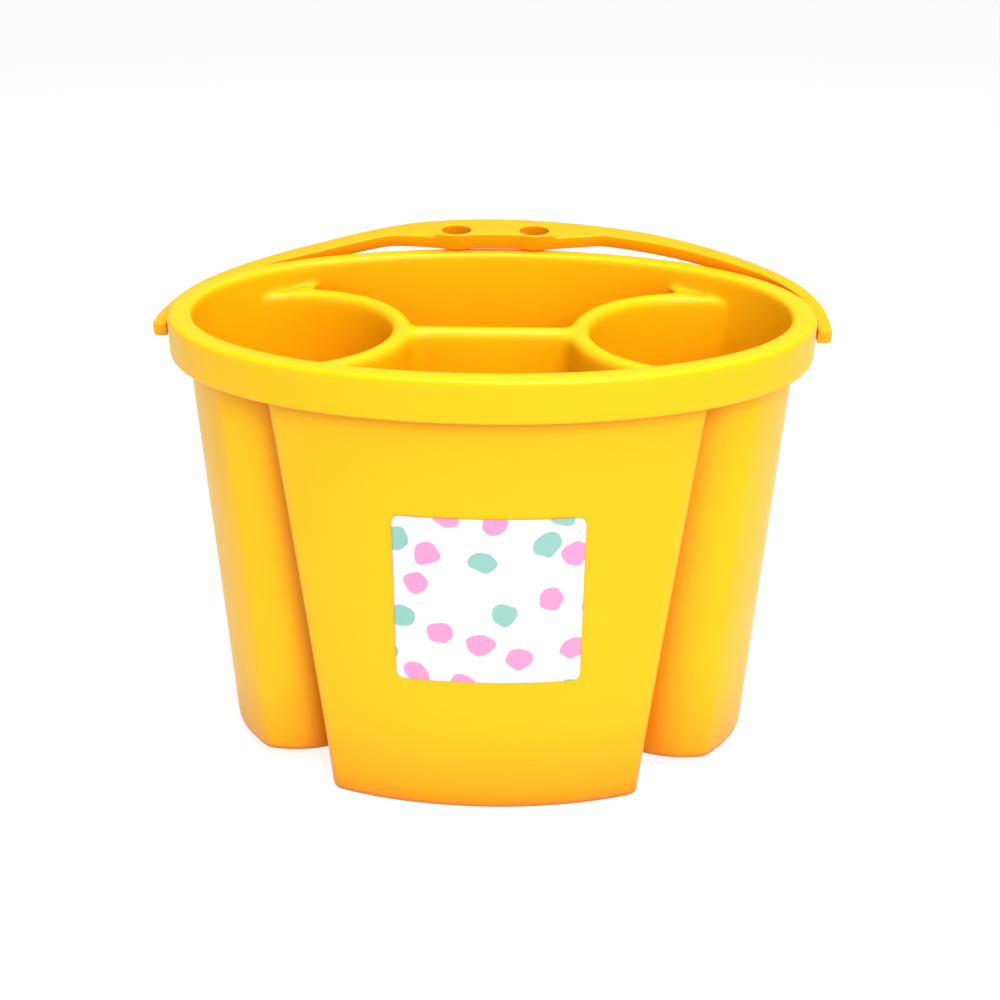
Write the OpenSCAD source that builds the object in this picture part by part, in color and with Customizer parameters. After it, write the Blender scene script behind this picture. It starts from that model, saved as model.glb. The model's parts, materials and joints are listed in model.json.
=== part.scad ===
/* [Rim] */
// Width of the rim from side to side
rim_w = 180; // [176:1:186]
// Depth of the rim from front to back
rim_d = 118; // [116:1:122]
// Height of the crown above the table
tub_h = 136; // [120:1:150]
// Height of the skirt that hangs from the crown
skirt_h = 11.6; // [10.5:0.1:14]
// Thickness of the skirt
skirt_t = 1.8; // [1.6:0.1:2.2]
// Thickness of the crown's flat top
crown_t = 2.2; // [1.8:0.1:2.6]
// Width and height of the crown's sloping outer edge
crown_bevel = 1.1; // [0.5:0.1:1.7]
// Squareness of the oval, where 2 is an ellipse
squareness = 2.07; // [2:0.01:2.2]

/* [Wells] */
// Thickness of every well's wall and floor
wall_t = 2.2; // [1.8:0.1:2.4]
// Distance from the rim's outer line in to the wall, at the skirt's lower edge
wall_inset = 5.1; // [4.8:0.1:6]
// Draft of the outer wall in degrees
wall_draft = 2.4; // [1.8:0.1:2.8]
// Draft of the walls between the wells in degrees
divider_draft = 1.5; // [1:0.1:2]
// Distance of each round well's centre from the middle
round_well_x = 58.6; // [57:0.1:60]
// Radius of the ridge line round each round well
ridge_line_r = 33.6; // [32:0.1:34.5]
// Half the width of the ridges between the wells, which is also the radius of their round tops
ridge_r = 3; // [2.8:0.1:3.4]
// Depth of the ridges' tops below the crown
ridge_drop = 6.6; // [5:0.1:9]
// Height of the round wells' undersides above the table
round_well_lift = 4.8; // [0:0.1:8]
// Outer radius of the front and back wells' narrow ends
nose_r = 4.2; // [3.6:0.1:4.6]
// Inner radius of the front and back wells' square corners
corner_r = 5; // [3:0.1:6]

/* [Handle] */
// Depth of the pivot axis below the crown
pivot_drop = 6; // [5.5:0.1:6.5]
// Gap between the rim and the handle's ends
strap_gap = 0.4; // [0.3:0.05:0.8]
// Width of the strap at its ends
strap_end_w = 4; // [3.5:0.1:5]
// Width of the strap in the middle
strap_mid_w = 6.4; // [5.5:0.1:8]
// Thickness of the strap
strap_t = 3.9; // [3.2:0.1:4.6]
// Reach of the strap's outer edge from the pivot axis
strap_reach = 71; // [70:0.5:76]
// Length of the square ends past the pivot axis
strap_tail = 5; // [4:0.5:5]
// Rise of the middle block's top above the strap, at its inner edge
block_rise = 1.3; // [0.5:0.1:2]
// Radius of the strap's outer edge at its shoulders
shoulder_r = 45; // [42:1:48]
// Distance of each brush hole from the middle
brush_hole_x = 12.3; // [11:0.1:14]
// Diameter of each brush hole
brush_hole_d = 9.2; // [7:0.1:9.4]
// Diameter of the hinge pegs
peg_d = 3; // [2.6:0.1:3.2]
// Gap all round a peg in its hole
peg_fit = 0.08; // [0.05:0.01:0.1]

/* [Label] */
// Width of the paper label
label_w = 50.5; // [40:0.5:56]
// Height of the paper label
label_h = 51.2; // [40:0.5:60]
// Thickness of the paper label
label_t = 0.25; // [0.15:0.05:0.4]
// Radius of the label's corners
label_r = 2.2; // [1:0.1:6]
// Depth of the label's top edge below the crown
label_drop = 40.4; // [30:0.5:50]

/* [Hidden] */
$fn = 144;
oval_steps = 72;
eps = 0.01;

half_w = rim_w / 2;
half_d = rim_d / 2;

// Heights, measured up from the table
ridge_top = tub_h - ridge_drop;
ridge_z = ridge_top - ridge_r;
skirt_z = tub_h - skirt_h;
pivot_z = tub_h - pivot_drop;
round_well_c = [round_well_x, 0];
divider_gap = ridge_r - wall_t;

// The handle lies back until its brush holes' bosses rest on the crown
boss_r = 6;
boss_s = strap_reach - 10.5;
web_s = boss_s - 3;
blend_x = 28;
blend_s = strap_reach - 9;
block_half = 19.5;
block_s = boss_s - boss_r;
block_back = strap_reach - 2;
peg_head_d = peg_d + 0.8;
peg_head_l = 1;
peg_head_gap = 0.3;
arc_start = 3;
rest_gap = 0.1;
rest_s = boss_s - boss_r;
rest_angle = asin((pivot_drop + rest_gap) / norm([rest_s, strap_t / 2])) + atan(strap_t / 2 / rest_s);

// The origin is under the middle of the whole object, with its handle laid back
back_reach = strap_reach * cos(rest_angle) + strap_t / 2 * sin(rest_angle);
middle_y = (back_reach - half_d) / 2;

// Angle of a direction in the plan
function heading(v) = atan2(v[1], v[0]);

// Power of a number that keeps its sign
function bent(x, power) = sign(x) * pow(abs(x), power);

// Point of an oval of the rim's kind, given its half width and half depth
function oval_point(w, d, t) = [w * bent(cos(t), 2 / squareness), d * bent(sin(t), 2 / squareness)];

// Inset of the outer wall's face from the rim's outer line, at a height
function inset_at(z) = wall_inset + tan(wall_draft) * (skirt_z - z);

// How far a divider's face has moved away from the ridge, at a height
function spread_at(z) = tan(divider_draft) * (ridge_z - z);

// Centre of the front right well corner where the straight and round dividers meet, at a height
function corner_c(z) =
    let (y = ridge_r + spread_at(z) + corner_r, r = ridge_line_r + y)
    [round_well_x - sqrt(r * r - y * y), -y];

// Centre of the front well's narrow right end, found by halving the stretch of wall that holds it
function nose_c(z, low = 30, high = 85, tries = 24) =
    let (t = (low + high) / 2, inset = inset_at(z) + nose_r, p = oval_point(half_w - inset, half_d - inset, -t),
         near = norm(p - round_well_c) < ridge_line_r + divider_gap + spread_at(z) + nose_r)
    tries == 0 ? p : near ? nose_c(z, t, high, tries - 1) : nose_c(z, low, t, tries - 1);

module both_sides() {
    children();
    mirror([1, 0, 0]) children();
}

module four_corners() {
    both_sides() {
        children();
        mirror([0, 1, 0]) children();
    }
}

// Corners of an oval of the rim's kind, moved in from its outer line, at a height
function oval_ring(inset, z) =
    [for (i = [0 : oval_steps - 1])
        let (p = oval_point(half_w - inset, half_d - inset, 360 * i / oval_steps)) [p[0], p[1], z]];

// Oval block between two heights, whose inset may differ from one to the other
module oval_block(inset0, inset1, z0, z1) {
    n = oval_steps;
    polyhedron(
        points = concat(oval_ring(inset0, z0), oval_ring(inset1, z1)),
        faces = concat(
            [[for (i = [0 : n - 1]) i], [for (i = [1 : n]) 2 * n - i]],
            [for (i = [0 : n - 1]) [n + i, n + (i + 1) % n, (i + 1) % n]],
            [for (i = [0 : n - 1]) [n + i, (i + 1) % n, i]]));
}

// Block as wide as the drafted wall's outer face, or smaller all round
module wall_block(smaller, z0, z1) {
    oval_block(inset_at(z0) + smaller, inset_at(z1) + smaller, z0, z1);
}

// Drafted plug round a round well's axis, whose radius is given at the ridge's height
module round_plug(r, slope, z0, z1) {
    translate([round_well_x, 0, z0])
        cylinder(h = z1 - z0, r1 = r + slope * spread_at(z0), r2 = r + slope * spread_at(z1));
}

// Gap round each round well, between its wall and the next wells' walls
module round_gaps() {
    both_sides()
        difference() {
            round_plug(ridge_line_r + divider_gap, 1, -1, ridge_z);
            round_plug(ridge_line_r - divider_gap, -1, -2, ridge_z + 1);
        }
}

// Section of a divider, whose top is rounded in flats; x is measured from the ridge line
module divider_section(half_t, low, round_top) {
    turn = 15;
    rounding = [for (a = [turn : 2 * turn : 180]) half_t / cos(turn) * [cos(a), sin(a)] + [0, ridge_z]];
    polygon(concat(
        [[-half_t - spread_at(low), low], [half_t + spread_at(low), low], [half_t, ridge_z]],
        round_top ? rounding : [],
        [[-half_t, ridge_z]]));
}

// The two double walls round the round wells, seen from inside as one ridge each
module round_dividers() {
    both_sides()
        translate([round_well_x, 0, 0])
            rotate_extrude() translate([ridge_line_r, 0]) divider_section(ridge_r, 0, true);
}

// Wall or gap along the middle, between the two ridge lines
module straight_divider(half_t, low, round_top) {
    translate([ridge_line_r - round_well_x, 0, 0])
        rotate([90, 0, 90])
            linear_extrude(2 * (round_well_x - ridge_line_r)) divider_section(half_t, low, round_top);
}

// Places its children along a leaning line between two plan points, with their x to the heading given
module leaning(low, high, z0, z1, way) {
    lean = [high[0] - low[0], high[1] - low[1], z1 - z0];
    translate([low[0], low[1], z0])
        rotate([0, acos(lean[2] / norm(lean)), heading(lean)])
            rotate([0, 0, way - heading(lean)]) children();
}

// Rounds the narrow ends of the front and back wells: cuts what is past a leaning bar, up to a height
module nose_cutters(r, top) {
    way = 4.5;
    four_corners()
        difference() {
            intersection() {
                leaning(nose_c(0), nose_c(ridge_z), 0, ridge_z, way)
                    translate([0.34 * r, -12, -4]) cube([34, 24, tub_h + 8]);
                translate([0, -half_d, -2]) cube([half_w, half_d, top + 2]);
            }
            leaning(nose_c(0), nose_c(ridge_z), 0, ridge_z, way)
                translate([0, 0, -8]) cylinder(h = tub_h + 16, r = r);
            translate([round_well_x, 0, -3]) cylinder(h = tub_h, r = ridge_line_r);
        }
}

// Rounds the corners beside the straight divider: a leaning wedge less a leaning bar
module corner_cutters(r, top) {
    way = 50.5;
    four_corners()
        intersection() {
            leaning(corner_c(0), corner_c(ridge_z), 0, ridge_z, way)
                translate([0, 0, -4])
                    linear_extrude(tub_h + 8)
                        difference() {
                            polygon([[0.77 * r, -0.85 * r], [0.77 * r, 0.85 * r], [1.45 * r, 0]]);
                            circle(r);
                        }
            translate([0, -half_d, -2]) cube([half_w, half_d, top + 2]);
        }
}

// All that divides the space inside the walls into four wells
module dividers() {
    round_dividers();
    straight_divider(ridge_r, 0, true);
    nose_cutters(nose_r - wall_t, ridge_top);
    corner_cutters(corner_r, ridge_top - ridge_r / 3);
    both_sides() round_plug(ridge_line_r, 0, 0, round_well_lift + wall_t);
}

// The gaps between the wells' walls, open below, and the space under the raised round wells
module gaps() {
    round_gaps();
    straight_divider(divider_gap, -1, false);
    nose_cutters(nose_r, ridge_z);
    corner_cutters(corner_r + wall_t, ridge_z);
    both_sides() round_plug(ridge_line_r, 0, -1, round_well_lift);
}

// The open space inside: one bowl down to the ridges, and the four wells below them
module hollows() {
    difference() {
        wall_block(wall_t, wall_t, tub_h + 1);
        union() dividers();
    }
}

// The rim: a crown with a sloping outer edge, and a skirt that hangs clear of the wall
module rim() {
    difference() {
        union() {
            oval_block(0, 0, skirt_z, tub_h - crown_bevel);
            oval_block(0, crown_bevel, tub_h - crown_bevel, tub_h);
        }
        oval_block(skirt_t, skirt_t, skirt_z - 1, tub_h - crown_t);
    }
}

// Tub: one yellow moulding with four wells, open below between them
module tub() {
    color("gold")
        in_place()
            difference() {
                difference() {
                    union() {
                        rim();
                        wall_block(0, 0, tub_h - crown_t / 2);
                    }
                    union() gaps();
                }
                hollows();
                both_sides()
                    translate([half_w - skirt_t - 0.5, 0, pivot_z])
                        rotate([0, 90, 0]) cylinder(h = skirt_t + 1, d = peg_d + 2 * peg_fit);
            }
}

// Half an oval of two radii, standing on the handle's own plan; y is the reach from the pivot axis
module half_oval(half, reach, r) {
    rise = reach - arc_start;
    top_r = (half * half + rise * rise - 2 * half * r) / (2 * (rise - r));
    translate([0, arc_start]) {
        intersection() {
            union() {
                translate([half - r, 0]) circle(r);
                translate([r - half, 0]) circle(r);
            }
            translate([-half, 0]) square([2 * half, rise]);
        }
        intersection() {
            translate([0, rise - top_r]) circle(top_r);
            polygon([[0, rise - top_r], 2.2 * [half - r, top_r - rise] + [0, rise - top_r],
                     [0, 2 * rise], 2.2 * [r - half, top_r - rise] + [0, rise - top_r]]);
            translate([-half, 0]) square([2 * half, rise]);
        }
    }
    translate([-half, -strap_tail]) square([2 * half, strap_tail + arc_start]);
}

// Outline of the handle, with its two bosses and their brush holes
module handle_outline() {
    inner_half = half_w + strap_gap;
    difference() {
        union() {
            difference() {
                half_oval(inner_half + strap_end_w, strap_reach, shoulder_r);
                translate([0, -eps]) half_oval(inner_half, strap_reach - strap_mid_w, shoulder_r - 5);
            }
            for (side = [-1, 1]) translate([side * brush_hole_x, boss_s]) circle(boss_r);
            polygon([[-blend_x, blend_s], [-brush_hole_x - boss_r + 0.9, web_s], [brush_hole_x + boss_r - 0.9, web_s],
                     [blend_x, blend_s], [blend_x, blend_s + 3], [-blend_x, blend_s + 3]]);
        }
        for (side = [-1, 1]) translate([side * brush_hole_x, boss_s]) circle(d = brush_hole_d);
    }
}

// Hinge peg that points inward from an end of the strap, with a head that snaps behind the skirt
module peg() {
    head_x = half_w - skirt_t - peg_head_gap;
    translate([head_x, 0, 0])
        rotate([0, 90, 0]) cylinder(h = half_w + strap_gap + 1 - head_x, d = peg_d);
    translate([head_x - peg_head_l, 0, 0])
        rotate([0, 90, 0]) cylinder(h = peg_head_l, d1 = peg_d, d2 = peg_head_d);
}

// Space above the strap: over its sides all of it, and over its middle block what is past a slope
module above_the_strap() {
    slope = block_rise / (block_back - block_s);
    both_sides()
        translate([block_half, -10, strap_t / 2]) cube([half_w, strap_reach + 20, 20]);
    translate([-half_w, 0, 0])
        rotate([90, 0, 90])
            linear_extrude(2 * half_w)
                polygon([[block_s - 20, strap_t / 2 + slope * (block_back - block_s + 20)], [block_back, strap_t / 2],
                         [strap_reach + 10, strap_t / 2], [strap_reach + 10, 20], [block_s - 20, 20]]);
}

// Handle: one yellow moulding that swings over the tub on two pegs
module handle() {
    color("goldenrod")
        in_place()
            translate([0, 0, pivot_z])
                rotate([rest_angle, 0, 0]) {
                    difference() {
                        translate([0, 0, -strap_t / 2]) linear_extrude(strap_t + 2 * block_rise) handle_outline();
                        union() above_the_strap();
                    }
                    both_sides() peg();
                }
}

// Label: printed paper on the front wall
module label() {
    top = tub_h - label_drop;
    color("mistyrose")
        in_place()
            intersection() {
                difference() {
                    wall_block(-label_t, 0, tub_h);
                    wall_block(0, -1, tub_h + 1);
                }
                translate([-label_w / 2, 0, top - label_h])
                    rotate([90, 0, 0]) linear_extrude(half_d) rounded_rectangle(label_w, label_h, label_r);
            }
}

module rounded_rectangle(w, h, r) {
    translate([r, 0]) square([w - 2 * r, h]);
    translate([0, r]) square([w, h - 2 * r]);
    for (x = [r, w - r], y = [r, h - r]) translate([x, y]) circle(r);
}

// Moves a piece from the rim's centre to the object's origin
module in_place() {
    translate([0, -middle_y, 0]) children();
}

tub();
handle();
label();
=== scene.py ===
import json
import math

import bmesh
import bpy
from mathutils import Matrix, Vector


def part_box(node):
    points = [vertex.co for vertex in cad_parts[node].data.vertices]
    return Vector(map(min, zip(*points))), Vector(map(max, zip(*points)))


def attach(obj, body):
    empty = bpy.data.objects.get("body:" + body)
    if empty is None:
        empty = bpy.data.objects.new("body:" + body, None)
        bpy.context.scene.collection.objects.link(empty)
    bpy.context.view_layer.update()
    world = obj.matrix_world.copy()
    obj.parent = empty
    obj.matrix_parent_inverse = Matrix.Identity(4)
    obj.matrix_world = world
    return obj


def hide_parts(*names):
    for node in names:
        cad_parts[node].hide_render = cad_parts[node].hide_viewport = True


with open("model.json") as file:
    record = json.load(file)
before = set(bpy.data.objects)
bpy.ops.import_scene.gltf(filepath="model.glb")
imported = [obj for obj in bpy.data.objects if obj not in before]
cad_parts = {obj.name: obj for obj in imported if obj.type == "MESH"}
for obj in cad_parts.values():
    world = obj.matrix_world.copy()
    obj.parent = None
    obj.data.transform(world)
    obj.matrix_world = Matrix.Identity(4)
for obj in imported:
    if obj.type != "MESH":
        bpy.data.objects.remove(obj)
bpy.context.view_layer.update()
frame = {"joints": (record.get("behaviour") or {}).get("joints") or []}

# Camera: it looks down at the front of the tub from about 0.4 m away. Its place was fitted to the
# rim, the ridges and the foot of the tub in the photograph. The photograph seems to be cropped off
# centre, so a small shift puts the lens's axis at axis_px across the frame.
mm = 0.001
tub_low, tub_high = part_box("tub")
crown = Vector((0, (tub_low.y + tub_high.y) / 2, tub_high.z))
look_down = math.radians(26.02)
turned = math.radians(-1.90)
tilted = math.radians(-0.06)
aim = Vector((4.07, 54.34, 379.42)) * mm
focal_length_px = 1361.6
frame_px = 1000
axis_px = 476
sensor_mm = 36

across = Vector((math.cos(turned), -math.sin(turned), 0))
level = Vector((math.sin(turned), math.cos(turned), 0))
steep = Vector((0, 0, 1)) * math.cos(look_down) + level * math.sin(look_down)
ahead = level * math.cos(look_down) - Vector((0, 0, 1)) * math.sin(look_down)
right = across * math.cos(tilted) - steep * math.sin(tilted)
up = across * math.sin(tilted) + steep * math.cos(tilted)
camera_data = bpy.data.cameras.new("camera")
camera_data.sensor_width = sensor_mm
camera_data.lens = sensor_mm * focal_length_px / frame_px
camera_data.shift_x = 0.5 - axis_px / frame_px
camera = bpy.data.objects.new("camera", camera_data)
bpy.context.scene.collection.objects.link(camera)
axes = Matrix((right, up, -ahead)).transposed()
camera.matrix_world = Matrix.Translation(crown - axes @ Vector((aim.x, aim.y, -aim.z))) @ axes.to_4x4()
bpy.context.scene.camera = camera

# Tub: one yellow polypropylene moulding, a sheet of even thickness. From the skirt it runs over the
# crown and down into a bowl with four wells, and it is folded over between the wells as round
# ridges, so the tub is open from below between their walls. All sizes here are in millimetres.
half_w = (tub_high.x - tub_low.x) / 2 / mm
half_d = (tub_high.y - tub_low.y) / 2 / mm
tub_h = tub_high.z / mm
squareness = 2.07
sheet_t = 2.2
skirt_h = 11.6
skirt_z = tub_h - skirt_h
wall_inset = 5.1
wall_slope = math.tan(math.radians(2.4))
divider_slope = math.tan(math.radians(1.5))
well = Vector((58.6, 0))
ridge_line_r = 33.6
ridge_r = 3.0
ridge_drop = 6.6
ridge_z = tub_h - ridge_drop - ridge_r
corner_r = 5.0
nose_r = 2.0
long_floor_z = sheet_t
round_gap = 4.8
round_floor_z = round_gap + sheet_t


def oval_point(inset, turn):
    """Plan point of an oval of the rim's kind, moved in from its outer line."""
    c, s = math.cos(turn), math.sin(turn)
    power = 2 / squareness
    return Vector(((half_w - inset) * abs(c) ** power, (half_d - inset) * abs(s) ** power))


def inset_at(z):
    """Inset of the wall's inner face from the rim's outer line."""
    return wall_inset + sheet_t + wall_slope * (skirt_z - z)


def turn_at(inset, reach):
    """Turn of the oval's point that is this far from a round well's axis."""
    near, far = 0.0, math.pi / 2
    for _ in range(40):
        middle = (near + far) / 2
        if (oval_point(inset, middle) - well).length < reach:
            near = middle
        else:
            far = middle
    return near


def round_the_well(heading, r):
    """Plan point at a distance from the round well's axis; heading in degrees."""
    return well + r * Vector((math.cos(math.radians(heading)), math.sin(math.radians(heading))))


def spaced(start, end, shares):
    """Values from start to end at the given shares of the way."""
    return [start + (end - start) * share for share in shares]


def even(steps):
    """Shares of a way in even steps, its start left out."""
    return [i / steps for i in range(1, steps + 1)]


# How the points are spread: along the straight divider, round a small corner and along a ridge's bend,
# over the wall past it, over the long well's wall, and along the web that joins a ridge to the wall,
# on its crest and on the round well's side
STRAIGHT_STEPS, CORNER_STEPS, STRIP_STEPS = 3, 3, 8
FAR_SHARES = [0.06, 0.2, 0.4, 0.6, 0.8, 1]
BACK_SHARES = [0.03, 0.12, 0.26, 0.42, 0.58, 0.74, 0.88, 1]
WEB_SHARES = [0.1, 0.22, 0.34, 0.47, 0.62, 0.78]
WEB_FOOT_SHARES = [0.09, 0.18, 0.28, 0.39, 0.5, 0.62, 0.77, 0.93, 1]


def side(half, z):
    """Half the width of a divider at a height, from its round top down to its drafted foot."""
    return half + divider_slope * max(ridge_z - z, 0)


def corner_centre(half, z):
    """Centre and radius of the long well's corner beside the straight divider."""
    r = corner_r + ridge_r - half
    y = side(half, z) + r
    reach = ridge_line_r + y
    return Vector((well.x - math.sqrt(reach * reach - y * y), y)), r


def long_well_line(half, z):
    """Right half of the back well's line, from the straight divider round to the back wall."""
    w = side(half, z)
    c, r = corner_centre(half, z)
    line = [Vector((c.x * i / STRAIGHT_STEPS, w)) for i in range(STRAIGHT_STEPS + 1)]
    end = math.atan2(-c.y, well.x - c.x)
    line += [c + r * Vector((math.cos(a), math.sin(a)))
             for a in spaced(-math.pi / 2, end, even(CORNER_STEPS))]
    inset = inset_at(z)
    tip_r = nose_r + ridge_r - half
    turn = turn_at(inset + tip_r, ridge_line_r + w + tip_r)
    tip = oval_point(inset + tip_r, turn)
    foot = oval_point(inset, turn)
    first = math.degrees(math.atan2(c.y, c.x - well.x))
    last = math.degrees(math.atan2(tip.y, tip.x - well.x))
    line += [round_the_well(h, ridge_line_r + w) for h in spaced(first, last, even(STRIP_STEPS))]
    start = math.atan2(-tip.y, well.x - tip.x)
    end = math.atan2(foot.y - tip.y, foot.x - tip.x)
    line += [tip + tip_r * Vector((math.cos(a), math.sin(a)))
             for a in spaced(start, end, even(CORNER_STEPS))]
    line += [oval_point(inset, t) for t in spaced(turn, math.pi / 2, BACK_SHARES)]
    line[-1].x = 0
    return line


def round_well_line(half, z):
    """Back half of the right round well's line, from the straight divider to the tub's end."""
    w = side(half, z)
    c, _ = corner_centre(half, z)
    inset = inset_at(z)
    first = math.degrees(math.atan2(c.y, c.x - well.x))
    tip_r = nose_r + ridge_r - half
    tip = oval_point(inset + tip_r, turn_at(inset + tip_r, ridge_line_r + w + tip_r))
    last = math.degrees(math.atan2(tip.y, tip.x - well.x))
    turn = turn_at(inset, ridge_line_r - w)
    end = oval_point(inset, turn)
    wall = math.degrees(math.atan2(end.y, end.x - well.x))
    headings = [180, (180 + first) / 2, first] + spaced(first, last, even(STRIP_STEPS))
    headings += spaced(last, wall, WEB_FOOT_SHARES)
    line = [round_the_well(h, ridge_line_r - w) for h in headings]
    line += [oval_point(inset, t) for t in spaced(turn, 0, FAR_SHARES)]
    line[0].y = line[-1].y = 0
    return line


def ridge_crest():
    """The crest's line, from the middle along the straight divider and round to the wall."""
    c, _ = corner_centre(ridge_r, ridge_z)
    first = math.degrees(math.atan2(c.y, c.x - well.x))
    tip = oval_point(inset_at(ridge_z) + nose_r, turn_at(inset_at(ridge_z) + nose_r,
                                                        ridge_line_r + ridge_r + nose_r))
    last = math.degrees(math.atan2(tip.y, tip.x - well.x))
    end = oval_point(inset_at(ridge_z), turn_at(inset_at(ridge_z), ridge_line_r))
    wall = math.degrees(math.atan2(end.y, end.x - well.x))
    line = [Vector((c.x * i / STRAIGHT_STEPS, 0)) for i in range(STRAIGHT_STEPS + 1)]
    headings = [180, (180 + first) / 2, first] + spaced(first, last, even(STRIP_STEPS))
    headings += spaced(last, wall, WEB_SHARES)
    return line + [round_the_well(h, ridge_line_r) for h in headings]


def chain(points, z):
    """New vertices along a line at one height."""
    return [tub_mesh.verts.new((p.x, p.y, z)) for p in points]


def carry(line, points, z, crease=0.0):
    """Extrudes a line of vertices and puts the new ones on the given points."""
    edges = [tub_mesh.edges.get((a, b)) for a, b in zip(line, line[1:])]
    made = bmesh.ops.extrude_edge_only(tub_mesh, edges=edges)["geom"]
    moved = {tuple(v.co): v for v in made if isinstance(v, bmesh.types.BMVert)}
    new_line = [moved[tuple(v.co)] for v in line]
    for vert, point in zip(new_line, points):
        vert.co = (point.x, point.y, z)
    for a, b in zip(new_line, new_line[1:]):
        tub_mesh.edges.get((a, b))[crease_layer] = crease
    return new_line


def join(a, b):
    """Faces between two lines of vertices, whose last ones may be the same vertex."""
    for i in range(len(a) - 1):
        corners = [a[i], a[i + 1], b[i + 1], b[i]]
        tub_mesh.faces.new(list(dict.fromkeys(corners)))


tub_mesh = bmesh.new()
crease_layer = tub_mesh.edges.layers.float.new("crease_edge")

# The ridges and the webs that join them to the wall: the crest, the well lines on both of its
# sides, and the wall line just above them. brow is half the ridge's width at those well lines.
crest_z, brow_z, wall_z = 129.72, 128.75, 130.7
brow = 2.35
crest = chain(ridge_crest(), crest_z)
long_line = chain(long_well_line(brow, brow_z), brow_z)
round_line = chain(round_well_line(brow, brow_z), brow_z)
foot_i = STRAIGHT_STEPS + CORNER_STEPS + STRIP_STEPS + CORNER_STEPS
cross_i = len(round_line) - 1 - len(FAR_SHARES)
wall_inset_here = inset_at(wall_z)
tip_turn = turn_at(inset_at(brow_z) + nose_r + ridge_r - brow, ridge_line_r + ridge_r + nose_r)
crest_turn = turn_at(wall_inset_here, ridge_line_r)
cross_turn = turn_at(inset_at(brow_z), ridge_line_r - brow)
wall_turns = list(reversed(spaced(tip_turn, math.pi / 2, BACK_SHARES))) + [tip_turn]
wall_turns += spaced(tip_turn, crest_turn, [0.33, 0.67, 1])
wall_turns += spaced(crest_turn, cross_turn, [0.5, 1])
wall_turns += spaced(cross_turn, 0, FAR_SHARES)


def wall_points(inset):
    """Points of the wall or rim, one above each of the wells' points, a quarter of the way round."""
    points = [oval_point(inset, t) for t in wall_turns]
    points[0].x = points[-1].y = 0
    return points


wall_line = chain(wall_points(wall_inset_here), wall_z)
web = wall_line[len(BACK_SHARES):]
# The ridges' ends sink a little where they run into the wall
web_heights = (130.1, 129.3, 129.0, 128.9, 128.9, 129.0, 129.3, 130.1)
crest_end_heights = (129.6, 129.4, 129.1)
for vert, z in zip(wall_line[len(BACK_SHARES) - 1:], web_heights):
    vert.co.z = z
for vert, z in zip(crest[-len(crest_end_heights):], crest_end_heights):
    vert.co.z = z
# The web's points that stand over the crest's end and over the end of the round well's strip
over_crest, over_cross = 3, 5
crest_end = crest + [web[over_crest]]
join(crest_end, long_line[:foot_i + 1] + web[:over_crest + 1])
join(round_line[:cross_i + 1], crest_end[STRAIGHT_STEPS + 1:] + web[over_crest + 1:over_cross + 1])
join(list(reversed(long_line[foot_i:])), wall_line[:len(BACK_SHARES) + 1])
join(round_line[cross_i:], web[over_cross:])

# The wells, down to their floors: below each ridge's shoulder its walls keep their draft, and a
# smaller copy of the lowest line bounds the flat floor
shoulder_z, shoulder_half = 126.8, 3.04
floor_share, floor_bend, floor_crease = 0.9, 5, 0.75
for line, plan, floor_z, floor_c in (
        (long_line, long_well_line, long_floor_z, Vector((0, 30))),
        (round_line, round_well_line, round_floor_z, Vector((55, 0)))):
    line = carry(line, plan(shoulder_half, shoulder_z), shoulder_z)
    for z, crease in ((122, 0), (92, 0), (48, 0), (floor_z + floor_bend, 0), (floor_z, floor_crease)):
        line = carry(line, plan(ridge_r, z), z, crease)
    floor = [floor_c + floor_share * (Vector(v.co[:2]) - floor_c) for v in line]
    line = carry(line, floor, floor_z)
    tub_mesh.faces.new(line)

# The wall above the ridges, the crown and the skirt: inset from the rim's line, height and crease
line = wall_line
for inset, z, crease in ((inset_at(132.6), 132.6, 0), (inset_at(134.6), 134.6, 0), (6.35, 135.65, 0),
                         (5.3, 136, 0), (1.5, 136, 0), (0.42, 135.6, 0), (0, 134.5, 0), (0, 131.5, 0),
                         (0, 127.5, 0), (0, skirt_z, 0.3)):
    line = carry(line, wall_points(inset), z, crease)

# This quarter is mirrored to make the whole tub, and the faces of the crown point upwards
merge_gap, level_from, crown_from = 0.01, 0.9, 130
for axis in "XY":
    bmesh.ops.mirror(tub_mesh, geom=tub_mesh.verts[:] + tub_mesh.edges[:] + tub_mesh.faces[:],
                     axis=axis, merge_dist=merge_gap)
bmesh.ops.remove_doubles(tub_mesh, verts=tub_mesh.verts, dist=merge_gap)
bmesh.ops.recalc_face_normals(tub_mesh, faces=tub_mesh.faces)
tub_mesh.normal_update()
crown_faces = [f for f in tub_mesh.faces
               if abs(f.normal.z) > level_from and f.calc_center_median().z > crown_from]
if sum(f.normal.z for f in crown_faces) < 0:
    bmesh.ops.reverse_faces(tub_mesh, faces=tub_mesh.faces)
bmesh.ops.scale(tub_mesh, vec=(mm, mm, mm), verts=tub_mesh.verts)
bmesh.ops.translate(tub_mesh, vec=(crown.x, crown.y, 0), verts=tub_mesh.verts)


def finished(name, mesh, body, slot, material, *nodes):
    """A finished piece: an object at the origin, its mesh in place, riding on its body."""
    data = bpy.data.meshes.new(name)
    mesh.to_mesh(data)
    mesh.free()
    data.shade_smooth()
    data.materials.append(material)
    piece = bpy.data.objects.new(name, data)
    bpy.context.scene.collection.objects.link(piece)
    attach(piece, body)
    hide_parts(*nodes)
    return piece


def node(tree, kind, place, **values):
    """A shader node with its own values set; keys that start with in_ are sockets."""
    made = tree.nodes.new(kind)
    made.location = place
    for key, value in values.items():
        if key.startswith("in_"):
            made.inputs[key[3:].replace("_", " ").title()].default_value = value
        else:
            setattr(made, key, value)
    return made


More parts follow.
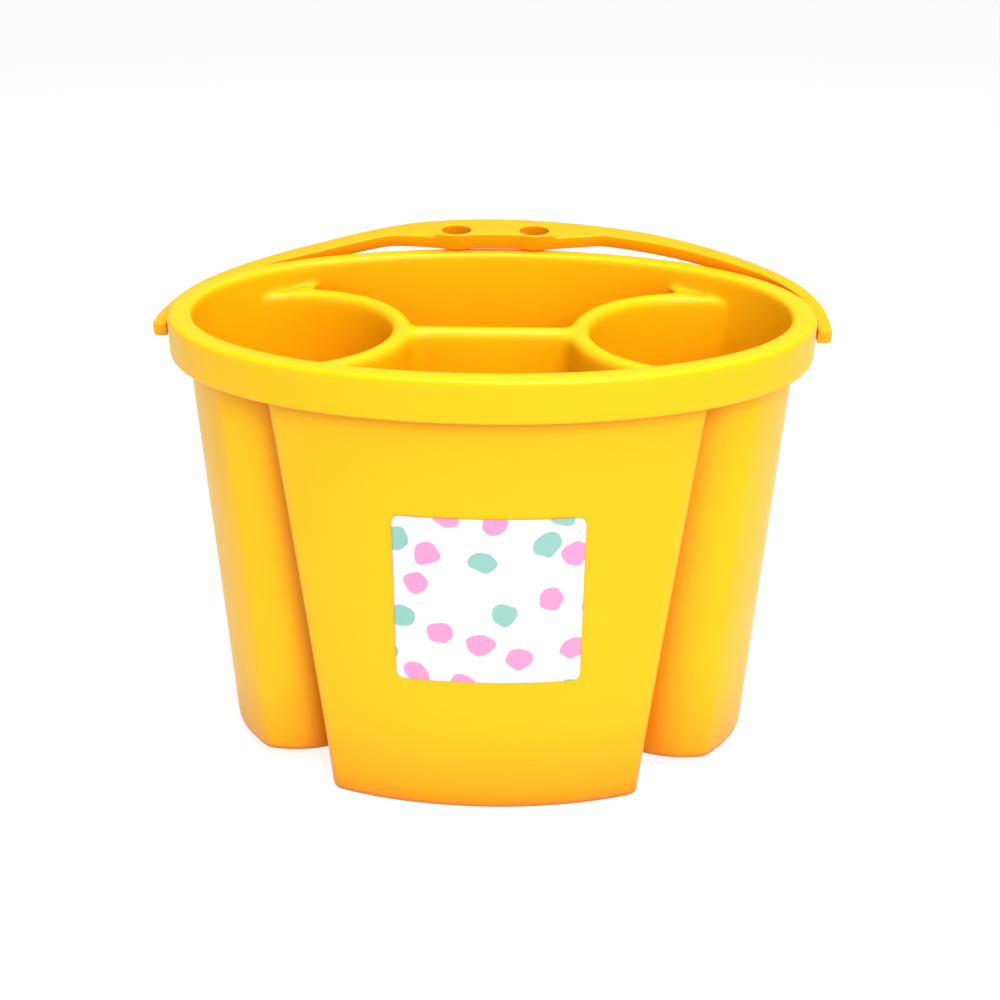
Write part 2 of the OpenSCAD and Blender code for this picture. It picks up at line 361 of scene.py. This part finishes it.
def moulded_plastic(name, colour, shade_colour):
    """Semi-gloss moulded plastic, deeper in colour in its hollows as painted shade, with a fine satin
    grain.
    """
    material = bpy.data.materials.new(name)
    material.use_nodes = True
    tree = material.node_tree
    link = tree.links.new
    shader = tree.nodes["Principled BSDF"]
    place = node(tree, "ShaderNodeTexCoord", (-1100, 0)).outputs["Object"]
    drift = node(tree, "ShaderNodeTexNoise", (-900, 200), in_scale=14, in_detail=3)
    mix = node(tree, "ShaderNodeMix", (-500, 200), data_type="RGBA")
    mix.inputs["A"].default_value = (*colour, 1)
    mix.inputs["B"].default_value = (*shade_colour, 1)
    soften = node(tree, "ShaderNodeMapRange", (-700, 200), in_from_min=0.3, in_from_max=0.8,
                  in_to_min=0.0, in_to_max=0.1)
    # How deep in a hollow a point is, in one as wide as a well and in one as narrow as a groove: there the
    # colour turns to the second, darker orange as painted shade
    hollow = node(tree, "ShaderNodeAmbientOcclusion", (-1100, 450), samples=8, in_distance=0.05)
    wide_shade = node(tree, "ShaderNodeMapRange", (-900, 450), in_from_min=0.25, in_from_max=0.82,
                  in_to_min=1.0, in_to_max=0.0)
    crease = node(tree, "ShaderNodeAmbientOcclusion", (-1100, 650), samples=8, in_distance=0.016)
    narrow_shade = node(tree, "ShaderNodeMapRange", (-900, 650), in_from_min=0.45, in_from_max=0.92,
                     in_to_min=0.9, in_to_max=0.0)
    shade = node(tree, "ShaderNodeMath", (-700, 550), operation="MAXIMUM")
    both = node(tree, "ShaderNodeMath", (-600, 350), operation="ADD", use_clamp=True)
    link(hollow.outputs["AO"], wide_shade.inputs["Value"])
    link(crease.outputs["AO"], narrow_shade.inputs["Value"])
    link(wide_shade.outputs["Result"], shade.inputs[0])
    link(narrow_shade.outputs["Result"], shade.inputs[1])
    link(shade.outputs["Value"], both.inputs[0])
    link(soften.outputs["Result"], both.inputs[1])
    link(place, drift.inputs["Vector"])
    link(drift.outputs["Fac"], soften.inputs["Value"])
    link(both.outputs["Value"], mix.inputs["Factor"])
    link(mix.outputs["Result"], shader.inputs["Base Color"])
    wipe = node(tree, "ShaderNodeTexNoise", (-900, -50), in_scale=60, in_detail=5)
    rough = node(tree, "ShaderNodeMapRange", (-500, -50), in_from_min=0.3, in_from_max=0.7,
                 in_to_min=0.30, in_to_max=0.38)
    link(place, wipe.inputs["Vector"])
    link(wipe.outputs["Fac"], rough.inputs["Value"])
    link(rough.outputs["Result"], shader.inputs["Roughness"])
    grain = node(tree, "ShaderNodeTexNoise", (-900, -300), in_scale=1600, in_detail=2)
    bump = node(tree, "ShaderNodeBump", (-500, -300), in_strength=0.12, in_distance=0.0002)
    link(place, grain.inputs["Vector"])
    link(grain.outputs["Fac"], bump.inputs["Height"])
    link(bump.outputs["Normal"], shader.inputs["Normal"])
    shader.inputs["IOR"].default_value = 1.49
    shader.inputs["Specular IOR Level"].default_value = 0.2
    return material


# The second colour of each plastic is the darker orange painted into its hollows as shade
tub_plastic = moulded_plastic("tub_plastic", (0.98, 0.55, 0.003), (0.88, 0.26, 0.001))
tub = finished("tub_moulding", tub_mesh, "tub", "tub_plastic", tub_plastic, "tub")
wall = tub.modifiers.new("sheet", "SOLIDIFY")
wall.thickness = sheet_t * mm
wall.offset = -1
wall.use_even_offset = True
wall.use_quality_normals = True
soft = tub.modifiers.new("soft", "SUBSURF")
soft.levels = soft.render_levels = 2

# Handle: one yellow polypropylene moulding, a flat strap bent like the rim, with a thicker block in
# the middle that has two brush holes, and a peg inside each square end. The pegs are snapped into
# the skirt's sides, and the strap lies back with its block on the crown.
half_inner, strap_end_w, strap_mid_w, strap_t = 90.4, 4.0, 7.4, 3.9
strap_reach, strap_tail, arc_start = 71.0, 5.0, 3.0
shoulder_out, shoulder_in = 45.0, 40.0
hole_x, hole_r, boss_r, boss_back = 12.3, 4.6, 6.0, 10.5
boss_s = strap_reach - boss_back
web_back, web_flat_x, web_end_x, web_rise = 4.5, 17.4, 34.0, 0.16
web_s = boss_s - web_back
pivot = Vector(frame["joints"][0]["pos_m"])
# The turn at which the block's lower edge lies on the crown, with a small gap
rest_gap, rest_s = 0.1, boss_s - boss_r
rest_angle = (math.asin((tub_h - pivot.z / mm + rest_gap) / math.hypot(rest_s, strap_t / 2))
              + math.atan(strap_t / 2 / rest_s))


def strap_edge(half, reach, shoulder, steps_low, steps_high):
    """Right half of one of the strap's edges, from its square end to the middle."""
    rise = reach - arc_start
    top_r = (half * half + rise * rise - 2 * half * shoulder) / (2 * (rise - shoulder))
    centre = Vector((0, arc_start + rise - top_r))
    joint = math.atan2(arc_start - centre.y, half - shoulder)
    low = [Vector((half - shoulder + shoulder * math.cos(a), arc_start + shoulder * math.sin(a)))
           for a in spaced(0, joint, [0] + even(steps_low))]
    high = [centre + top_r * Vector((math.cos(a), math.sin(a)))
            for a in spaced(joint, math.pi / 2, even(steps_high))]
    return low + high


# The strap's two edges. The outer one starts with the square end's rounded corner, and the inner one
# runs round the bosses and along the web that joins them to the strap.
half_outer, end_r = half_inner + strap_end_w, 1.3
end_steps, low_steps, outer_steps, inner_steps = 4, 14, 26, 60
outer = strap_edge(half_outer, strap_reach, shoulder_out, low_steps, outer_steps)
inner = strap_edge(half_inner, strap_reach - strap_mid_w, shoulder_in, low_steps, inner_steps)
outer = [Vector((half_outer - end_r * (1 - math.cos(a)), end_r * (1 - math.sin(a)) - strap_tail))
         for a in spaced(math.pi / 2, 0, [0] + even(end_steps))] + outer
for point in inner:
    if point.x < web_end_x:
        point.y = min(point.y, web_s + web_rise * max(point.x - web_flat_x, 0))
    if abs(point.x - hole_x) < boss_r:
        point.y = min(point.y, boss_s - math.sqrt(boss_r ** 2 - (point.x - hole_x) ** 2))
# The inner edge is evened twice, from just past its shoulder to the middle
for _ in range(2):
    heights = [p.y for p in inner]
    for i in range(low_steps + 2, len(inner) - 1):
        inner[i].y = (heights[i - 1] + 2 * heights[i] + heights[i + 1]) / 4
outline = outer + [Vector((-p.x, p.y)) for p in reversed(outer[:-1])]
inside = [Vector((half_inner, -strap_tail))] + inner
outline += [Vector((-p.x, p.y)) for p in inside] + list(reversed(inside[:-1]))

handle_mesh = bmesh.new()
verts = [handle_mesh.verts.new((p.x, p.y, -strap_t / 2)) for p in outline]
for i, vert in enumerate(verts):
    handle_mesh.edges.new((vert, verts[(i + 1) % len(verts)]))
for sign in (-1, 1):
    bmesh.ops.create_circle(handle_mesh, cap_ends=False, segments=36, radius=hole_r,
                            matrix=Matrix.Translation((sign * hole_x, boss_s, -strap_t / 2)))
bmesh.ops.triangle_fill(handle_mesh, use_beauty=True, edges=handle_mesh.edges, normal=(0, 0, 1))
# Its edges are rounded on both faces, in three steps
edge_r, edge_steps = 0.5, 3
flat = handle_mesh.faces[:]
raised = bmesh.ops.extrude_face_region(handle_mesh, geom=flat)["geom"]
top = [g for g in raised if isinstance(g, bmesh.types.BMFace)]
bmesh.ops.translate(handle_mesh, vec=(0, 0, strap_t - edge_r),
                    verts=[g for g in raised if isinstance(g, bmesh.types.BMVert)])
bmesh.ops.translate(handle_mesh, vec=(0, 0, edge_r), verts=list({v for f in flat for v in f.verts}))
bmesh.ops.recalc_face_normals(handle_mesh, faces=handle_mesh.faces)
for faces in (top, flat):
    for step in range(edge_steps):
        a, b = (math.pi / 2 * i / edge_steps for i in (step, step + 1))
        bmesh.ops.inset_region(handle_mesh, faces=faces, use_boundary=True, use_even_offset=True,
                               thickness=edge_r * (math.cos(a) - math.cos(b)),
                               depth=edge_r * (math.sin(b) - math.sin(a)))
# The middle block's top rises towards the tub's middle
block_rise, block_half, block_end, block_back = 1.3, 19.5, 1.8, strap_reach - 2
snap = 1e-5
for place, way in (((block_half, 0, 0), (1, 0, 0)), ((-block_half, 0, 0), (1, 0, 0)),
                   ((block_half - block_end, 0, 0), (1, 0, 0)), ((block_end - block_half, 0, 0), (1, 0, 0)),
                   ((0, block_back, 0), (0, 1, 0))):
    whole = handle_mesh.verts[:] + handle_mesh.edges[:] + handle_mesh.faces[:]
    bmesh.ops.bisect_plane(handle_mesh, geom=whole, dist=snap, plane_co=place, plane_no=way)
for vert in handle_mesh.verts:
    if vert.co.z > 0 and vert.co.y < block_back:
        share = min(max((block_half - abs(vert.co.x)) / block_end, 0), 1)
        vert.co.z += block_rise * share * (block_back - vert.co.y) / (block_back - rest_s)
# The strap has sprung out of flat: its left side hangs lower than its right one
hang_left, hang_right, hang_from, hang_full, hang_reach = -2.2, 0.6, 20.0, 62.0, 18.0
for vert in handle_mesh.verts:
    share = min(max((abs(vert.co.x) - hang_from) / (hang_full - hang_from), 0), 1)
    along = min(max(vert.co.y / hang_reach, 0), 1)
    hang = hang_left if vert.co.x < 0 else hang_right
    vert.co.z += hang * share * share * (3 - 2 * share) * along * (2 - along)
# The pegs, with a head that snaps behind the skirt
peg_r, head_r, head_l, peg_end, peg_root = 1.5, 1.9, 1.0, 87.9, 1
peg_l = half_inner + peg_root - peg_end
for sign in (-1, 1):
    turn = Matrix.Rotation(sign * math.pi / 2, 4, "Y")
    for r_in, r_out, length, middle in ((peg_r, peg_r, peg_l, peg_end + peg_l / 2),
                                        (peg_r, head_r, head_l, peg_end - head_l / 2)):
        bmesh.ops.create_cone(handle_mesh, cap_ends=True, segments=24, radius1=r_in, radius2=r_out,
                              depth=length, matrix=Matrix.Translation((sign * middle, 0, 0)) @ turn)
laid_back = Matrix.Translation(pivot) @ Matrix.Rotation(rest_angle, 4, "X") @ Matrix.Scale(mm, 4)
bmesh.ops.transform(handle_mesh, verts=handle_mesh.verts, matrix=laid_back)
handle_plastic = moulded_plastic("handle_plastic", (0.84, 0.44, 0.003), (0.80, 0.28, 0.001))
handle = finished("carry_handle", handle_mesh, "handle", "handle_plastic", handle_plastic, "handle")
handle.data.set_sharp_from_angle(angle=math.radians(40))

# Label: a square of gummed paper with round corners, pressed onto the front wall. It is printed
# with plain pastel dots, pink and mint, on paper whose pink tint fades towards the right.
label_w, label_h, label_r, label_t = 50.5, 51.2, 2.2, 0.12
label_drop, label_off, lift = 40.4, 0.95, 0.06
label_top = tub_h - label_drop
grid_steps = 40
label_mesh = bmesh.new()
bmesh.ops.create_grid(label_mesh, x_segments=grid_steps, y_segments=grid_steps, size=1)


def even_out(value, half):
    """Puts five grid lines into each rounded margin, and spreads the others evenly."""
    margin = 0.25
    if abs(value) > 1 - margin:
        return math.copysign(half - label_r + label_r * (abs(value) - 1 + margin) / margin, value)
    return value * (half - label_r) / (1 - margin)


for vert in label_mesh.verts:
    x, y = even_out(vert.co.x, label_w / 2), even_out(vert.co.y, label_h / 2)
    dx = max(abs(x) - label_w / 2 + label_r, 0) / label_r
    dy = max(abs(y) - label_h / 2 + label_r, 0) / label_r
    if dx > 0 and dy > 0:
        x = math.copysign(label_w / 2 - label_r + label_r * dx * math.sqrt(1 - dy * dy / 2), x)
        y = math.copysign(label_h / 2 - label_r + label_r * dy * math.sqrt(1 - dx * dx / 2), y)
    z = label_top - label_h / 2 + y
    inset = inset_at(z) - sheet_t - lift
    share = abs((x + label_off) / (half_w - inset))
    depth = (half_d - inset) * (1 - share ** squareness) ** (1 / squareness)
    vert.co = (x, -depth, z)
bmesh.ops.recalc_face_normals(label_mesh, faces=label_mesh.faces)
label_mesh.faces.ensure_lookup_table()
if label_mesh.faces[0].normal.y > 0:
    bmesh.ops.reverse_faces(label_mesh, faces=label_mesh.faces)
bmesh.ops.scale(label_mesh, vec=(mm, mm, mm), verts=label_mesh.verts)
bmesh.ops.translate(label_mesh, vec=(crown.x + label_off * mm, crown.y, 0), verts=label_mesh.verts)

label_paper = bpy.data.materials.new("label_paper")
label_paper.use_nodes = True
tree = label_paper.node_tree
shader = tree.nodes["Principled BSDF"]
shader.inputs["Roughness"].default_value = 0.42
place = node(tree, "ShaderNodeTexCoord", (-1900, 0)).outputs["Object"]
dot_pitch, dot_r, dot_edge, dot_wander, print_turn = 0.0122, 0.0035, 0.0001, 0.0034, 0.42
wander = node(tree, "ShaderNodeTexNoise", (-1700, -200), in_scale=160, in_detail=1)
bend = node(tree, "ShaderNodeVectorMath", (-1450, 0), operation="MULTIPLY_ADD")
bend.inputs[1].default_value = (dot_wander, dot_wander, dot_wander)
lay = node(tree, "ShaderNodeMapping", (-1200, 0))
lay.inputs["Rotation"].default_value = (-math.pi / 2, 0, print_turn)
dots = node(tree, "ShaderNodeTexVoronoi", (-900, 0), voronoi_dimensions="2D", in_scale=1 / dot_pitch,
            in_randomness=0.42)
kind = node(tree, "ShaderNodeSeparateColor", (-600, 120))
inks = node(tree, "ShaderNodeValToRGB", (-400, 200))
inks.color_ramp.interpolation = "CONSTANT"
pink, mint, none = (0.87, 0.31, 0.58, 1), (0.27, 0.56, 0.49, 1), (0.95, 0.92, 0.93, 1)
pink_up_to, mint_from = 0.40, 0.56
inks.color_ramp.elements[0].color = pink
inks.color_ramp.elements[1].position = pink_up_to
inks.color_ramp.elements[1].color = none
inks.color_ramp.elements.new(mint_from).color = mint
inside_dot = node(tree, "ShaderNodeMapRange", (-600, -120), in_from_min=(dot_r - dot_edge) / dot_pitch,
                  in_from_max=(dot_r + dot_edge) / dot_pitch, in_to_min=1.0, in_to_max=0.0)
apart = node(tree, "ShaderNodeSeparateXYZ", (-900, -300))
fade = node(tree, "ShaderNodeMapRange", (-700, -300), in_from_min=-0.024, in_from_max=0.018,
            in_to_min=0.0, in_to_max=1.0)
paper = node(tree, "ShaderNodeMix", (-400, -250), data_type="RGBA")
paper.inputs["A"].default_value = (0.95, 0.80, 0.88, 1)
paper.inputs["B"].default_value = (0.95, 0.94, 0.94, 1)
print_on = node(tree, "ShaderNodeMix", (-100, 0), data_type="RGBA")
link = tree.links.new
link(place, wander.inputs["Vector"])
link(wander.outputs["Color"], bend.inputs[0])
link(place, bend.inputs[2])
link(bend.outputs["Vector"], lay.inputs["Vector"])
link(lay.outputs["Vector"], dots.inputs["Vector"])
link(dots.outputs["Color"], kind.inputs["Color"])
link(kind.outputs["Red"], inks.inputs["Fac"])
link(dots.outputs["Distance"], inside_dot.inputs["Value"])
link(inside_dot.outputs["Result"], print_on.inputs["Factor"])
link(place, apart.inputs["Vector"])
link(apart.outputs["X"], fade.inputs["Value"])
link(fade.outputs["Result"], paper.inputs["Factor"])
link(paper.outputs["Result"], print_on.inputs["A"])
link(inks.outputs["Color"], print_on.inputs["B"])
link(print_on.outputs["Result"], shader.inputs["Base Color"])
fibres = node(tree, "ShaderNodeTexNoise", (-500, -400), in_scale=900, in_detail=4)
tooth = node(tree, "ShaderNodeBump", (-300, -400), in_strength=0.1, in_distance=0.0001)
link(place, fibres.inputs["Vector"])
link(fibres.outputs["Fac"], tooth.inputs["Height"])
link(tooth.outputs["Normal"], shader.inputs["Normal"])
label = finished("paper_label", label_mesh, "tub", "label_paper", label_paper, "label")
thick = label.modifiers.new("thick", "SOLIDIFY")
thick.thickness = label_t * mm
thick.offset = 1

# Studio: a white floor that keeps the tub's soft shadow, a white surround, and three soft lamps
# from the front, from above and from the left
floor_mesh = bmesh.new()
bmesh.ops.create_grid(floor_mesh, x_segments=1, y_segments=1, size=3)
floor_data = bpy.data.meshes.new("floor")
floor_mesh.to_mesh(floor_data)
floor_mesh.free()
floor = bpy.data.objects.new("floor", floor_data)
bpy.context.scene.collection.objects.link(floor)
floor_white = bpy.data.materials.new("floor_white")
floor_white.use_nodes = True
tree = floor_white.node_tree
link = tree.links.new
shader = tree.nodes["Principled BSDF"]
shader.inputs["Base Color"].default_value = (0.8, 0.8, 0.8, 1)
shader.inputs["Roughness"].default_value = 0.9
shader.inputs["Specular IOR Level"].default_value = 0
# The floor's own glow counts only where it is seen or mirrored, so it lights nothing
glow_share, glow_strength = 0.62, 1.33
rays = node(tree, "ShaderNodeLightPath", (-600, 300))
seen = node(tree, "ShaderNodeMath", (-400, 300), operation="ADD")
seen_too = node(tree, "ShaderNodeMath", (-200, 300), operation="ADD", use_clamp=True)
glowing = node(tree, "ShaderNodeMath", (0, 300), operation="MULTIPLY")
glowing.inputs[1].default_value = glow_share
glow = node(tree, "ShaderNodeEmission", (0, -300), in_strength=glow_strength)
blend = node(tree, "ShaderNodeMixShader", (300, 0))
link(rays.outputs["Is Camera Ray"], seen.inputs[0])
link(rays.outputs["Is Glossy Ray"], seen.inputs[1])
link(seen.outputs["Value"], seen_too.inputs[0])
link(rays.outputs["Is Transmission Ray"], seen_too.inputs[1])
link(seen_too.outputs["Value"], glowing.inputs[0])
link(glowing.outputs["Value"], blend.inputs["Fac"])
link(shader.outputs["BSDF"], blend.inputs[1])
link(glow.outputs["Emission"], blend.inputs[2])
link(blend.outputs["Shader"], tree.nodes["Material Output"].inputs["Surface"])
floor_data.materials.append(floor_white)

world = bpy.data.worlds.new("surround")
bpy.context.scene.world = world
world.use_nodes = True
tree = world.node_tree
link = tree.links.new
ambient = tree.nodes["Background"]
ambient.inputs["Color"].default_value = (1, 1, 1, 1)
ambient.inputs["Strength"].default_value = 0.36
white = node(tree, "ShaderNodeBackground", (0, -200), in_strength=1.0)
white.inputs["Color"].default_value = (1, 1, 1, 1)
rays = node(tree, "ShaderNodeLightPath", (-600, 300))
choose = node(tree, "ShaderNodeMixShader", (300, 0))
link(rays.outputs["Is Camera Ray"], choose.inputs["Fac"])
link(ambient.outputs["Background"], choose.inputs[1])
link(white.outputs["Background"], choose.inputs[2])
link(choose.outputs["Shader"], tree.nodes["World Output"].inputs["Surface"])


lamp_aim = Vector((0, 0, 0.08))


def lamp(name, place, size, power):
    """A square soft lamp that faces the tub."""
    data = bpy.data.lights.new(name, "AREA")
    data.size = size
    data.energy = power
    made = bpy.data.objects.new(name, data)
    bpy.context.scene.collection.objects.link(made)
    made.location = place
    made.rotation_euler = (lamp_aim - Vector(place)).to_track_quat("-Z", "Y").to_euler()


lamp("key", (0.33, -0.85, 0.72), 0.5, 7)
lamp("top", (0.10, -0.1, 1.1), 0.6, 10.5)
lamp("fill", (-0.8, -0.5, 0.35), 0.6, 1.0)
bpy.context.scene.view_settings.view_transform = "Standard"
